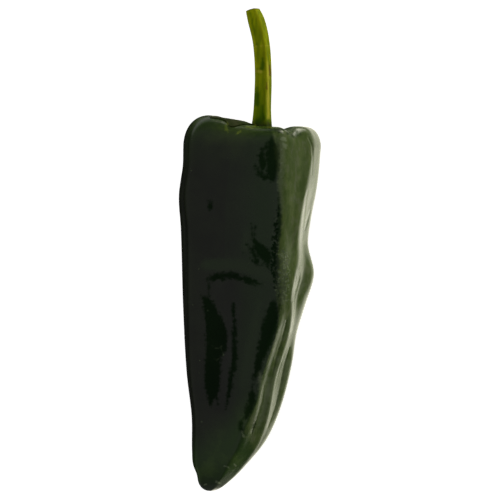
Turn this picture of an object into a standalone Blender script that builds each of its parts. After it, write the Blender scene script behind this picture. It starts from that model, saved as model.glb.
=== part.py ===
"""A fresh pasilla pepper lying on its back: a blocky, tapering pod, and the calyx and stem it grew on.

The frame is in metres. +Y runs from the pod's tip to the cut end of the stem, +X is to the right and +Z
is up. The origin is on the table, under the middle of the whole pepper. Angles round the pod are in
degrees about its length: 0 is the right side, 90 the upper face, 180 the left side and 270 the back.
"""

from math import pi

import bmesh
import bpy
import numpy as np

MM = 0.001

# Places along the pod
TIP_Y = -90.0 * MM
SHOULDER_Y = 38.0 * MM  # the sides end here and the crown rolls inwards
BASIN_Y = 40.5 * MM  # floor of the sunken middle of the crown

# The four outlines of the sides, as places along Y and edges in millimetres. Seen from above they are
# the left and right edges. Seen from the side they are the back, which lies on the table, and the front.
LEFT_EDGE = [
    (-90, -14.8), (-89, -17.8), (-87, -19.2), (-83.5, -20.0), (-80, -21.3), (-74, -21.7), (-62, -21.8),
    (-45, -23.7), (-20, -25.0), (8, -25.8), (22, -26.4), (27, -25.7), (31, -25.1), (38, -24.9),
]
RIGHT_EDGE = [
    (-90, -14.8), (-89, -11.2), (-87, -8.4), (-81, -2.2), (-69, 7.1), (-57, 12.0), (-42, 15.7), (-30, 17.6),
    (-20, 20.7), (-9, 23.8), (3, 21.6), (11, 22.6), (24, 25.0), (38, 26.4),
]
BACK_EDGE = [
    (-90, 13.0), (-88.5, 9.6), (-85, 7.0), (-76, 4.2), (-60, 1.4), (-40, -0.3), (0, -0.7), (25, -0.5),
    (38, 0.6),
]
FRONT_EDGE = [
    (-90, 13.0), (-88.5, 16.8), (-85, 20.0), (-78, 23.6), (-62, 29.0), (-40, 35.2), (-15, 39.8),
    (5, 41.6), (22, 42.6), (38, 42.0),
]

# The section is a rounded polygon. Each side has the angle that it faces, and its distance from the
# middle as a share of the half width, at four places from the tip, 0, to the shoulder, 1.
SECTION_PLACES = (0, 0.3, 0.5, 1)
SECTION_SIDES = [
    (98, (0.95, 0.93, 0.92, 0.90)),
    (40, (0.86, 0.98, 1.10, 0.92)),
    (22, (1.03, 1.02, 1.01, 0.955)),
    (3, (1.01, 1.01, 1.02, 1.00)),
    (342, (0.93, 0.91, 0.90, 0.95)),
    (312, (0.96, 0.94, 0.93, 0.98)),
    (272, (0.95, 0.92, 0.90, 0.92)),
    (240, (0.98, 0.97, 0.97, 1.00)),
    (216, (0.95, 0.95, 0.95, 0.96)),
    (174, (0.95, 0.96, 0.97, 0.97)),
]
SECTION_ROUNDNESS = 20.0  # a higher value gives sharper corners

# Folds run lengthwise. Each has its half width in degrees and its path: place along Y in millimetres,
# angle in degrees, and height in millimetres, which is below zero in a furrow.
FOLDS = {
    "ridge of the right lobe": (5.0, [
        (-80, 24, 0.0), (-66, 38, 0.5), (-60, 42, 0.8), (-48, 43, 1.1), (-40, 39, 1.1), (-32, 37, 1.1),
        (-26, 41, 1.1), (-18, 47, 1.1), (-11, 46, 1.1), (-2, 37, 0.9), (10, 40, 0.9), (24, 35, 0.7),
        (38, 26, 0.5),
    ]),
    "furrow behind that ridge": (6.0, [
        (-70, 20, 0.0), (-56, 25, -0.7), (-44, 24, -1.1), (-32, 22, -0.5), (-19, 31, -0.9),
        (-12, 24, -1.3), (-3, 18, -0.8), (10, 20, -0.5), (24, 15, -0.4), (36, 10, -0.2),
    ]),
    "ridge of the middle lobe": (4.0, [
        (-74, 80, 0.0), (-66, 77, 0.4), (-52, 62, 0.3), (-37, 54, 0.3), (-28, 55, 0.3), (-19, 57, 0.3),
        (-8, 58, 0.0),
    ]),
    "furrow between the ridges": (6.0, [
        (-76, 58, 0.0), (-66, 58, -0.4), (-60, 54, -0.3), (-44, 50, -0.4), (-30, 46, -0.3),
        (-18, 50, 0.0),
    ]),
    "furrow of the left lobe": (4.0, [
        (-18, 166, 0.0), (-4, 165, -0.8), (14, 164, -1.2), (26, 163, -1.0), (34, 162, 0.0),
    ]),
    "left furrow of the back": (9.0, [(-70, 238, 0.0), (-48, 240, -1.2), (38, 232, -1.7)]),
    "right furrow of the back": (9.0, [(-62, 300, 0.0), (-38, 302, -1.1), (38, 306, -1.4)]),
}

# Shallow dents and swellings: place along Y and angle, half length in millimetres, half width in
# degrees, and height in millimetres.
SWELLINGS = [
    (-9, 4, 7, 13, 3.2),
    (-43, 8, 9, 12, 2.0),
    (16, 108, 16, 17, 0.45),
    (-13, 104, 4.5, 14, -0.35),
    (-34, 118, 13, 12, 0.35),
    (-30, 92, 12, 5, -0.25),
    (2, 186, 12, 16, 0.5),
    (-48, 200, 14, 16, -0.6),
    (-12, 340, 10, 14, 0.5),
    (14, 268, 18, 12, -0.5),
]

# Crown
STEM_X = 4.5 * MM
STEM_Z = 26.0 * MM
RIM_HEIGHT = [  # above the shoulder, at angles round the pod
    (0, 7.8), (50, 7.8), (78, 7.6), (100, 8.4), (118, 9.5), (136, 10.7), (156, 11.8), (205, 11.2),
    (250, 9.0), (305, 7.4),
]
RIM_PLACE = [  # share of the way out
    (0, 0.73), (55, 0.68), (110, 0.54), (150, 0.66), (190, 0.71), (270, 0.66),
]
CROWN_SQUARENESS = 2.15  # 2 is an ellipse
NOTCH_ANGLE = 49.5
NOTCH_DEPTH = 2.0 * MM
NOTCH_HALF_WIDTH = 6.0

# Calyx
CALYX_GAP = 0.45 * MM
CALYX_EDGE = [  # 1 is the rim and 2 is the shoulder
    (0, 0.72), (50, 0.76), (80, 0.88), (98, 1.26), (112, 1.42), (124, 1.40), (136, 1.24), (152, 0.94),
    (180, 0.74), (270, 0.80),
]
CALYX_POINTS = 12
CALYX_FIRST_POINT = 114
CALYX_POINT_REACH = 0.14
CALYX_EDGE_THICKNESS = 0.6 * MM
CALYX_MIDDLE_THICKNESS = 2.2 * MM

# Stem: its centre line in millimetres and its half thickness at shares of its length
STEM_LINE = [
    (4.1, 44.0, 26.0), (4.45, 53.5, 25.6), (4.75, 63.0, 24.9), (4.5, 72.0, 23.9), (3.7, 79.0, 22.8),
    (2.3, 84.8, 21.7), (0.9, 89.15, 20.8),
]
STEM_HALF_THICKNESS = [(0, 4.0), (0.10, 3.4), (0.3, 3.15), (0.6, 3.1), (0.88, 3.05), (1, 2.6)]
STEM_RIBS = 5
STEM_RIB_SHARE = 0.06
STEM_SQUARED_FROM = 0.8  # share of its length past which the rings turn towards square to Y
STEM_SQUARED_SHARE = 0.35  # how far they have turned at the cut end, which stays aslant
CUT_RIM_SHARE = 0.8
CUT_RIM_DOME = 0.36 * MM
CUT_DOME = 0.6 * MM

# Fineness of the surfaces
POD_AROUND = 90
POD_FOLDED_SIDE = 25  # the points of a ring lie closest together round this angle
POD_CROWDING = 18  # by how many degrees at most they are moved towards it
POD_SIDE_RINGS = 44
CROWN_RINGS = 18
STEM_AROUND = 50
CALYX_UNDER_RINGS = 9
CALYX_UPPER_RINGS = 5
STEM_RINGS = 15


def smooth_through(points, at):
    """A smooth curve through the points, read at the given places. Slopes are those of the neighbours."""
    x, y = np.array(points, float).T
    slope = np.gradient(y, x)
    i = np.clip(np.searchsorted(x, at, side="right") - 1, 0, len(x) - 2)
    step = x[i + 1] - x[i]
    t = (at - x[i]) / step
    return (
        (1 + 2 * t) * (1 - t) ** 2 * y[i]
        + t * (1 - t) ** 2 * step * slope[i]
        + t**2 * (3 - 2 * t) * y[i + 1]
        + t**2 * (t - 1) * step * slope[i + 1]
    )


def round_through(points, angle):
    """The same for a value that depends on the angle round the pod, so that it closes on itself."""
    before = [(a - 360, value) for a, value in points]
    after = [(a + 360, value) for a, value in points]
    return smooth_through(before + points + after, angle)


def bell(distance, half_width):
    return np.exp(-((distance / half_width) ** 2) / 2)


def turn_between(angle, other):
    """Signed difference of two angles in degrees, from -180 to 180."""
    return (angle - other + 180) % 360 - 180


def edge(outline, y):
    """One outline read at y. It is smoothed over the square root of the distance from the tip, which
    leaves the tip rounded."""
    length = SHOULDER_Y - TIP_Y
    roots = [(np.sqrt(max(place * MM - TIP_Y, 0) / length), value * MM) for place, value in outline]
    return smooth_through(roots, np.sqrt(np.clip(y - TIP_Y, 0, None) / length))


def relief(y, angle):
    """Height in metres of all folds, dents and swellings."""
    height = 0 * angle
    for half_width, path in FOLDS.values():
        place = np.clip(y / MM, path[0][0], path[-1][0])
        middle = smooth_through([(at, turned) for at, turned, _ in path], place)
        size = smooth_through([(at, rise) for at, _, rise in path], place)
        height = height + size * MM * bell(turn_between(angle, middle), half_width)
    for at, middle, half_length, half_width, size in SWELLINGS:
        across = bell(turn_between(angle, middle), half_width)
        height = height + size * MM * across * bell(y / MM - at, half_length)
    return height


def section(y, angle):
    """The section at y before it is stretched to the outlines: X and Z of a rounded polygon of half
    width 1, with the relief on it."""
    share = (y - TIP_Y) / (SHOULDER_Y - TIP_Y)
    total = 0
    for facing, distances in SECTION_SIDES:
        distance = smooth_through(list(zip(SECTION_PLACES, distances)), share)
        total = total + (np.clip(np.cos(np.radians(angle - facing)), 0, None) / distance) ** SECTION_ROUNDNESS
    half_width = np.maximum(edge(RIGHT_EDGE, y) - edge(LEFT_EDGE, y), 8 * MM) / 2
    distance = total ** (-1 / SECTION_ROUNDNESS) + relief(y, angle) / half_width
    return distance * np.cos(np.radians(angle)), distance * np.sin(np.radians(angle))


def stretch(values, ring, low, high):
    """The values moved and scaled so that their whole ring runs exactly from low to high."""
    smallest = ring.min(axis=1, keepdims=True)
    largest = ring.max(axis=1, keepdims=True)
    return low + (values - smallest) / (largest - smallest) * (high - low)


def sides(y, angle):
    """Points of the pod's sides. Each ring is the section there, stretched to touch the four outlines,
    and flattened where it would go below the table."""
    x, z = section(y, angle)
    ring_x, ring_z = section(y, np.arange(0, 360, 2.0)[None, :])
    x = stretch(x, ring_x, edge(LEFT_EDGE, y), edge(RIGHT_EDGE, y))
    z = stretch(z, ring_z, edge(BACK_EDGE, y), edge(FRONT_EDGE, y))
    return np.stack([x, y + 0 * x, np.maximum(z, 0)], axis=-1)


def crown(m, angle):
    """Points of the crown: m is 0 in the middle of the basin, 1 on the rim and 2 at the shoulder. The
    outer part is a quarter of a squarish ellipse, and the inner part falls to the basin as half a
    cosine wave."""
    shoulder = sides(np.full((1, 1), SHOULDER_Y), angle)
    rim = round_through(RIM_PLACE, angle)
    height = round_through(RIM_HEIGHT, angle) * MM
    outward = np.clip(m - 1, 0, 1) * pi / 2
    inward = np.clip(m, 0, 1)
    height = height - NOTCH_DEPTH * bell(turn_between(angle, NOTCH_ANGLE), NOTCH_HALF_WIDTH) * inward**2
    over = height * np.cos(outward).clip(0) ** (2 / CROWN_SQUARENESS)
    into = BASIN_Y + (SHOULDER_Y + height - BASIN_Y) * (1 - np.cos(pi * inward)) / 2
    y = np.where(m > 1, SHOULDER_Y + over, into)
    share = np.where(m > 1, rim + (1 - rim) * np.sin(outward) ** (2 / CROWN_SQUARENESS), rim * inward)
    x = STEM_X + (shoulder[..., 0] - STEM_X) * share
    z = STEM_Z + (shoulder[..., 2] - STEM_Z) * share
    return np.stack([x, y, np.maximum(z, 0)], axis=-1)


def crown_outward(m, angle):
    """Unit vectors that point out of the crown's surface."""
    along = crown(m + 0.02, angle) - crown(m - 0.02, angle)
    around = crown(m, angle + 1) - crown(m, angle - 1)
    outward = np.cross(around, along)
    return outward / np.linalg.norm(outward, axis=-1, keepdims=True)


def angles(count):
    return (np.arange(count) * 360 / count)[None, :]


def pod_rings():
    """Rings of points from the tip, up the sides and over the crown to the middle of the basin."""
    angle = angles(POD_AROUND)
    angle = angle - POD_CROWDING * np.sin(np.radians(angle - POD_FOLDED_SIDE))
    u = np.arange(1, POD_SIDE_RINGS + 1)[:, None] / POD_SIDE_RINGS
    y = TIP_Y + (SHOULDER_Y - TIP_Y) * (1 - np.cos(u * pi / 2))
    m = 2 - 2 * np.arange(1, CROWN_RINGS)[:, None] / CROWN_RINGS
    tip = np.array([[LEFT_EDGE[0][1] * MM, TIP_Y, BACK_EDGE[0][1] * MM]])
    middle = np.array([[STEM_X, BASIN_Y, STEM_Z]])
    return [tip, *sides(y, angle), *crown(m, angle), middle]


def calyx_rings(angle):
    """Rings of the calyx: its underside from the middle to the edge, then its upper side back in."""
    points = np.abs(np.cos(np.radians(angle - CALYX_FIRST_POINT) * CALYX_POINTS / 2)) ** 3
    reach = round_through(CALYX_EDGE, angle) * (1 - CALYX_POINT_REACH * (1 - points))
    under = np.linspace(0, 1, CALYX_UNDER_RINGS + 1)[1:, None]
    upper = np.linspace(1, 0.4, CALYX_UPPER_RINGS)[:, None]
    share = np.vstack([under, upper])
    thickness = CALYX_EDGE_THICKNESS + (CALYX_MIDDLE_THICKNESS - CALYX_EDGE_THICKNESS) * (1 - upper) ** 2
    lift = CALYX_GAP + np.vstack([0 * under, thickness])
    return crown(share * reach, angle) + crown_outward(share * reach, angle) * lift[..., None]


def stem_rings(angle):
    """Rings of the stem, square to its centre line, and a little more square to Y at the cut end."""
    t = np.linspace(0, 1, STEM_RINGS)
    share = np.linspace(0, 1, len(STEM_LINE))
    axes = np.array(STEM_LINE).T * MM
    centre = np.stack([smooth_through(list(zip(share, axis)), t) for axis in axes], axis=-1)
    forward = np.gradient(centre, axis=0)
    forward /= np.linalg.norm(forward, axis=-1, keepdims=True)
    squared = STEM_SQUARED_SHARE * np.clip((t - STEM_SQUARED_FROM) / (1 - STEM_SQUARED_FROM), 0, 1)[:, None]
    forward = forward * (1 - squared) + np.array([0, 1, 0]) * squared
    forward /= np.linalg.norm(forward, axis=-1, keepdims=True)
    right = np.cross(forward, [0, 0, 1])
    right /= np.linalg.norm(right, axis=-1, keepdims=True)
    up = np.cross(right, forward)
    radius = smooth_through(STEM_HALF_THICKNESS, t)[:, None] * MM
    radius = radius * (1 + STEM_RIB_SHARE * np.cos(np.radians(angle) * STEM_RIBS))
    across = (radius * np.cos(np.radians(angle)))[..., None] * right[:, None]
    upward = (radius * np.sin(np.radians(angle)))[..., None] * up[:, None]
    return centre[:, None] + across + upward


def stem_and_calyx_rings():
    """The calyx's underside, its edge and its upper side, then the stem up to its slightly domed end."""
    angle = angles(STEM_AROUND)
    stem = stem_rings(angle)
    middle = np.array([[STEM_X, BASIN_Y + CALYX_GAP, STEM_Z]])
    end = stem[-1].mean(axis=0, keepdims=True)
    cut = end + (stem[-1] - end) * CUT_RIM_SHARE + [[0, CUT_RIM_DOME, 0]]
    return [middle, *calyx_rings(angle), *stem, cut, end + [[0, CUT_DOME, 0]]]


def loft(name, rings, collection):
    """One closed mesh through the rings. The first and the last ring are single points."""
    mesh = bmesh.new()
    rows = [[mesh.verts.new(point) for point in ring] for ring in rings]
    for lower, upper in zip(rows, rows[1:]):
        count = max(len(lower), len(upper))
        for i in range(count):
            j = (i + 1) % count
            if len(lower) == 1:
                mesh.faces.new((lower[0], upper[i], upper[j]))
            elif len(upper) == 1:
                mesh.faces.new((lower[j], lower[i], upper[0]))
            else:
                mesh.faces.new((lower[j], lower[i], upper[i], upper[j]))
    bmesh.ops.recalc_face_normals(mesh, faces=mesh.faces)
    data = bpy.data.meshes.new(name)
    mesh.to_mesh(data)
    mesh.free()
    data.shade_smooth()
    thing = bpy.data.objects.new(name, data)
    collection.objects.link(thing)
    return thing


def paint(thing, colour, roughness):
    material = bpy.data.materials.new(thing.name)
    material.use_nodes = True
    shader = material.node_tree.nodes["Principled BSDF"]
    shader.inputs["Base Color"].default_value = (*colour, 1)
    shader.inputs["Roughness"].default_value = roughness
    shader.inputs["Metallic"].default_value = 0
    thing.data.materials.append(material)


def main():
    for thing in list(bpy.data.objects):
        bpy.data.objects.remove(thing)
    pepper = bpy.data.collections.new("pasilla_pepper")
    bpy.context.scene.collection.children.link(pepper)
    pod = loft("pod", pod_rings(), pepper)
    paint(pod, (0.016, 0.036, 0.012), 0.25)
    stem = loft("stem_and_calyx", stem_and_calyx_rings(), pepper)
    paint(stem, (0.10, 0.14, 0.01), 0.55)


main()
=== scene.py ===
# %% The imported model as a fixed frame
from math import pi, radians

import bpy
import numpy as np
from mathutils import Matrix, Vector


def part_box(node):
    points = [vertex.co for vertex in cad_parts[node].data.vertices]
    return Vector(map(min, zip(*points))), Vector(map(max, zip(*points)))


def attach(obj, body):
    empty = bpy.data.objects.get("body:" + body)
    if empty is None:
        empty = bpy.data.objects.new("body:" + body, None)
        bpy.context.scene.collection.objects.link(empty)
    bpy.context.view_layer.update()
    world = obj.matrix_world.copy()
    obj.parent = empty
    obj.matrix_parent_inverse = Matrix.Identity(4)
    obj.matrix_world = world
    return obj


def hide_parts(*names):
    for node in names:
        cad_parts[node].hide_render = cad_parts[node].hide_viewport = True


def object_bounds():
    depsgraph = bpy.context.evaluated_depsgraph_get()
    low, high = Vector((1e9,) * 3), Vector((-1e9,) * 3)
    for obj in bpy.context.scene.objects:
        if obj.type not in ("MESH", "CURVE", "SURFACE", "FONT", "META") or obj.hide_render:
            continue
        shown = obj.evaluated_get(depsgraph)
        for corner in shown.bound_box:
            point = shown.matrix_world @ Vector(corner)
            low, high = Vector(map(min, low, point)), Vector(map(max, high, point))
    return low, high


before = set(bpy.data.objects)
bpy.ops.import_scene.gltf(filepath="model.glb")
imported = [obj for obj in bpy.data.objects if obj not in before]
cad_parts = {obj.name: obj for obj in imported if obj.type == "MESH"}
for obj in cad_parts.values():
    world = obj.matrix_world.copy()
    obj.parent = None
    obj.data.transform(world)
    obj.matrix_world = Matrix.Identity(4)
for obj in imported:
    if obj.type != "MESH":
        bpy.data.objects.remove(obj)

# %% [markdown]
# # A fresh pasilla pepper, photographed from above
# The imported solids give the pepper's size and place. Their facets are too coarse for a skin that
# mirrors its surroundings, so each solid is replaced by a fine surface of the same shape, and then
# the work goes into the two finishes: a dark, waxy, dented skin and a dry, ribbed, olive green stem.
#
# Everything is in metres, and Y runs from the tip of the pod to the cut end of the stem. Angles round
# the pod are in degrees: 0 is its right side, 90 the face that looks up, 180 the left and 270 the back.

MM = 0.001
cad_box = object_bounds()
pod_low, pod_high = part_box("pod")

TIP_Y = pod_low.y
SHOULDER_Y = TIP_Y + 128 * MM  # where the sides end and the crown rolls inwards
BASIN_Y = SHOULDER_Y + 2.5 * MM  # floor of the sunken middle of the crown
print(f"pod {pod_high.x - pod_low.x:.4f} wide, {pod_high.y - pod_low.y:.4f} long, {pod_high.z:.4f} deep")

# %% [markdown]
# ## Smooth curves through a few points
# A grown thing has no straight lines, so every outline, path and thickness below is a handful of
# points with a smooth curve through them. A spline library could draw it, but a cubic whose slopes are
# those of the neighbouring points needs a few lines of numpy and never strays far from its points.

# %% Curves


def smooth_through(points, at):
    """A smooth curve through the points, read at the given places: in each gap the cubic that has the
    heights of its two ends, and as slopes those of a parabola through each end and its neighbours."""
    x, y = np.array(points, float).T
    slope = np.gradient(y, x)
    i = np.clip(np.searchsorted(x, at, side="right") - 1, 0, len(x) - 2)
    step = x[i + 1] - x[i]
    t = (at - x[i]) / step
    from_left = (1 + 2 * t) * (1 - t) ** 2 * y[i] + t * (1 - t) ** 2 * step * slope[i]
    from_right = t**2 * (3 - 2 * t) * y[i + 1] + t**2 * (t - 1) * step * slope[i + 1]
    return from_left + from_right


def round_through(points, angle):
    """The same for a value that depends on the angle round the pod: the points are repeated a full turn
    before and after, so the curve closes on itself."""
    before = [(a - 360, value) for a, value in points]
    after = [(a + 360, value) for a, value in points]
    return smooth_through(before + points + after, angle)


def bell(distance, half_width):
    """exp(-d^2 / 2w^2): 1 in the middle, 0.6 at the half width, and near 0 past three of them."""
    return np.exp(-((distance / half_width) ** 2) / 2)


def turn_between(angle, other):
    """The difference of two angles in degrees, brought between -180 and 180."""
    return (angle - other + 180) % 360 - 180


def ease(value, low, high):
    """3t^2 - 2t^3 of the share of the way from low to high, held at 0 and 1 outside."""
    t = np.clip((value - low) / (high - low), 0, 1)
    return t * t * (3 - 2 * t)


print(f"ease from 0 to 10 at 2.5, 5 and 7.5: {ease(np.array([2.5, 5, 7.5]), 0, 10)}")

# %% [markdown]
# ## The pod's four outlines
# Seen from above, a pod has a left and a right edge. Seen from the side, it has a back, on which it
# lies, and an upper face. A lathe would make it round, and this pod is nearly a box at the shoulder and
# a wedge at the tip, so a section is stretched at each place along Y to touch all four outlines. The
# curves run over the square root of the distance from the tip, which gives a blunt, round end.
# The numbers were measured on the photograph, where one pixel is 0.372 mm.

# %% Outlines, as places along Y and edges in millimetres
LEFT_EDGE = [
    (-90, -14.8), (-89, -17.8), (-87, -19.2), (-83.5, -20.0), (-80, -21.3), (-74, -21.7), (-62, -21.8),
    (-45, -23.7), (-20, -25.0), (8, -25.8), (22, -26.4), (27, -25.7), (31, -25.1), (38, -24.9),
]
RIGHT_EDGE = [
    (-90, -14.8), (-89, -11.2), (-87, -8.4), (-81, -2.2), (-69, 7.1), (-57, 12.0), (-42, 15.7), (-30, 17.6),
    (-20, 20.7), (-9, 23.8), (3, 21.6), (11, 22.6), (24, 25.0), (38, 26.4),
]
BACK_EDGE = [
    (-90, 13.0), (-88.5, 9.6), (-85, 7.0), (-76, 4.2), (-60, 1.4), (-40, -0.3), (0, -0.7), (25, -0.5),
    (38, 0.6),
]
FRONT_EDGE = [
    (-90, 13.0), (-88.5, 16.8), (-85, 20.0), (-78, 23.6), (-62, 29.0), (-40, 35.2), (-15, 39.8),
    (5, 41.6), (22, 42.6), (38, 42.0),
]


def edge(outline, y):
    """One outline at y, smoothed over the square root of the distance from the tip."""
    length = SHOULDER_Y - TIP_Y
    roots = [(np.sqrt(max(place * MM - TIP_Y, 0) / length), value * MM) for place, value in outline]
    return smooth_through(roots, np.sqrt(np.clip(y - TIP_Y, 0, None) / length))


for y in (-60 * MM, 0.0, SHOULDER_Y):
    print(f"at Y {y:.3f} the pod is {edge(RIGHT_EDGE, y) - edge(LEFT_EDGE, y):.4f} wide")

# %% [markdown]
# ## Lobes, ridges and furrows
# The pod grew as lobes with flat faces between blunt corners. A rounded polygon gives that: the
# distance to each side's line at an angle is h / cos(angle - facing), and a high power mean of all of
# them keeps to the nearest side and rounds the corners. Folds along the pod and shallow dents are bells
# added to it. They could be sculpted, but a bell has a named place and height, and is easy to move.

# %% The section and its relief
SECTION_PLACES = (0, 0.3, 0.5, 1)  # shares of the way from the tip to the shoulder
SECTION_SIDES = [  # the angle that a side faces, and its distance from the middle at those places
    (98, (0.95, 0.93, 0.92, 0.90)),
    (40, (0.86, 0.98, 1.10, 0.92)),
    (22, (1.03, 1.02, 1.01, 0.955)),
    (3, (1.01, 1.01, 1.02, 1.00)),
    (342, (0.93, 0.91, 0.90, 0.95)),
    (312, (0.96, 0.94, 0.93, 0.98)),
    (272, (0.95, 0.92, 0.90, 0.92)),
    (240, (0.98, 0.97, 0.97, 1.00)),
    (216, (0.95, 0.95, 0.95, 0.96)),
    (174, (0.95, 0.96, 0.97, 0.97)),
]
SECTION_ROUNDNESS = 20.0  # a higher value gives sharper corners
SMALLEST_WIDTH = 8 * MM  # the relief isn't scaled up further where the tip is narrower than this

FOLDS = {  # half width in degrees, and the path: Y in millimetres, angle, height in millimetres
    "ridge of the right lobe": (5.0, [
        (-80, 24, 0.0), (-66, 38, 0.5), (-60, 42, 0.8), (-48, 43, 1.1), (-40, 39, 1.1), (-32, 37, 1.1),
        (-26, 41, 1.1), (-18, 47, 1.1), (-11, 46, 1.1), (-2, 37, 0.9), (10, 40, 0.9), (24, 35, 0.7),
        (38, 26, 0.5),
    ]),
    "furrow behind that ridge": (6.0, [
        (-70, 20, 0.0), (-56, 25, -0.7), (-44, 24, -1.1), (-32, 22, -0.5), (-19, 31, -0.9),
        (-12, 24, -1.3), (-3, 18, -0.8), (10, 20, -0.5), (24, 15, -0.4), (36, 10, -0.2),
    ]),
    "ridge of the middle lobe": (4.0, [
        (-74, 80, 0.0), (-66, 77, 0.4), (-52, 62, 0.3), (-37, 54, 0.3), (-28, 55, 0.3), (-19, 57, 0.3),
        (-8, 58, 0.0),
    ]),
    "furrow between the ridges": (6.0, [
        (-76, 58, 0.0), (-66, 58, -0.4), (-60, 54, -0.3), (-44, 50, -0.4), (-30, 46, -0.3),
        (-18, 50, 0.0),
    ]),
    "furrow of the left lobe": (4.0, [
        (-18, 166, 0.0), (-4, 165, -0.8), (14, 164, -1.2), (26, 163, -1.0), (34, 162, 0.0),
    ]),
    "left furrow of the back": (9.0, [(-70, 238, 0.0), (-48, 240, -1.2), (38, 232, -1.7)]),
    "right furrow of the back": (9.0, [(-62, 300, 0.0), (-38, 302, -1.1), (38, 306, -1.4)]),
}

SWELLINGS = [  # Y, angle, half length in millimetres, half width in degrees, height in millimetres
    (-9, 4, 7, 13, 3.2),
    (-43, 8, 9, 12, 2.0),
    (16, 108, 16, 17, 0.45),
    (-13, 104, 4.5, 14, -0.35),
    (-34, 118, 13, 12, 0.35),
    (-30, 92, 12, 5, -0.25),
    (2, 186, 12, 16, 0.5),
    (-48, 200, 14, 16, -0.6),
    (-12, 340, 10, 14, 0.5),
    (14, 268, 18, 12, -0.5),
]


def fold_height(name, y, angle):
    """One fold's height in millimetres: its size at y, times a bell across its path."""
    half_width, path = FOLDS[name]
    place = np.clip(y / MM, path[0][0], path[-1][0])
    middle = smooth_through([(at, turned) for at, turned, _ in path], place)
    size = smooth_through([(at, rise) for at, _, rise in path], place)
    return size * bell(turn_between(angle, middle), half_width)


def relief(y, angle):
    """Height in metres of all folds, dents and swellings."""
    height = sum(fold_height(name, y, angle) for name in FOLDS)
    for at, middle, half_length, half_width, size in SWELLINGS:
        across = bell(turn_between(angle, middle), half_width)
        height = height + size * across * bell(y / MM - at, half_length)
    return height * MM


def section(y, angle):
    """X and Z of a rounded polygon of half width 1, with the relief on it."""
    share = (y - TIP_Y) / (SHOULDER_Y - TIP_Y)
    total = 0
    for facing, distances in SECTION_SIDES:
        distance = smooth_through(list(zip(SECTION_PLACES, distances)), share)
        towards = np.clip(np.cos(np.radians(angle - facing)), 0, None)
        total = total + (towards / distance) ** SECTION_ROUNDNESS
    half_width = np.maximum(edge(RIGHT_EDGE, y) - edge(LEFT_EDGE, y), SMALLEST_WIDTH) / 2
    distance = total ** (-1 / SECTION_ROUNDNESS) + relief(y, angle) / half_width
    return distance * np.cos(np.radians(angle)), distance * np.sin(np.radians(angle))


print(f"{len(SECTION_SIDES)} sides, {len(FOLDS)} folds and {len(SWELLINGS)} swellings or dents")


# %% A section stretched to the outlines
def stretch(values, ring, low, high):
    """The values moved and scaled so that their whole ring runs exactly from low to high."""
    smallest = ring.min(axis=1, keepdims=True)
    largest = ring.max(axis=1, keepdims=True)
    return low + (values - smallest) / (largest - smallest) * (high - low)


def sides(y, angle):
    """Points of the pod's sides: the section at y, stretched to the four outlines and flattened where
    it would go below the table."""
    x, z = section(y, angle)
    ring_x, ring_z = section(y, np.arange(0, 360, 2.0)[None, :])
    x = stretch(x, ring_x, edge(LEFT_EDGE, y), edge(RIGHT_EDGE, y))
    z = stretch(z, ring_z, edge(BACK_EDGE, y), edge(FRONT_EDGE, y))
    return np.stack([x, y + 0 * x, np.maximum(z, 0)], axis=-1)


widest = sides(np.full((1, 1), SHOULDER_Y), np.arange(0, 360, 2.0)[None, :])
print(f"the shoulder reaches X {widest[..., 0].min():.4f} to {widest[..., 0].max():.4f}")

# %% [markdown]
# ## The crown
# Above the shoulder the pod rolls over to a rim and sinks to a basin round the stem. The outer part is
# a quarter of a squarish ellipse and the inner part half a cosine wave, both with a height that changes
# round the rim, and a notch where two lobes meet. Another way is to extrude and inset the last ring,
# but a formula keeps the lobes of the sides running over the rim.

# %% The crown's surface
STEM_X = 4.5 * MM
STEM_Z = 26.0 * MM
RIM_HEIGHT = [  # above the shoulder, at angles round the pod
    (0, 7.8), (50, 7.8), (78, 7.6), (100, 8.4), (118, 9.5), (136, 10.7), (156, 11.8), (205, 11.2),
    (250, 9.0), (305, 7.4),
]
RIM_PLACE = [  # share of the way out to the shoulder
    (0, 0.73), (55, 0.68), (110, 0.54), (150, 0.66), (190, 0.71), (270, 0.66),
]
CROWN_SQUARENESS = 2.15  # 2 is an ellipse
NOTCH_ANGLE = 49.5
NOTCH_DEPTH = 2.0 * MM
NOTCH_HALF_WIDTH = 6.0


def crown(m, angle):
    """Points of the crown: m is 0 in the middle of the basin, 1 on the rim and 2 at the shoulder."""
    shoulder = sides(np.full((1, 1), SHOULDER_Y), angle)
    rim = round_through(RIM_PLACE, angle)
    height = round_through(RIM_HEIGHT, angle) * MM
    outward = np.clip(m - 1, 0, 1) * pi / 2
    inward = np.clip(m, 0, 1)
    notch = NOTCH_DEPTH * bell(turn_between(angle, NOTCH_ANGLE), NOTCH_HALF_WIDTH)
    height = height - notch * inward**2
    over = height * np.cos(outward).clip(0) ** (2 / CROWN_SQUARENESS)
    into = BASIN_Y + (SHOULDER_Y + height - BASIN_Y) * (1 - np.cos(pi * inward)) / 2
    y = np.where(m > 1, SHOULDER_Y + over, into)
    share = np.where(m > 1, rim + (1 - rim) * np.sin(outward) ** (2 / CROWN_SQUARENESS), rim * inward)
    x = STEM_X + (shoulder[..., 0] - STEM_X) * share
    z = STEM_Z + (shoulder[..., 2] - STEM_Z) * share
    return np.stack([x, y, np.maximum(z, 0)], axis=-1)


def crown_outward(m, angle):
    """Unit vectors out of the crown: the cross product of its two directions along the surface."""
    along = crown(m + 0.02, angle) - crown(m - 0.02, angle)
    around = crown(m, angle + 1) - crown(m, angle - 1)
    outward = np.cross(around, along)
    return outward / np.linalg.norm(outward, axis=-1, keepdims=True)


rises = [rise for _, rise in RIM_HEIGHT]
print(f"the rim rises {min(rises)} to {max(rises)} mm over the shoulder")

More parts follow.
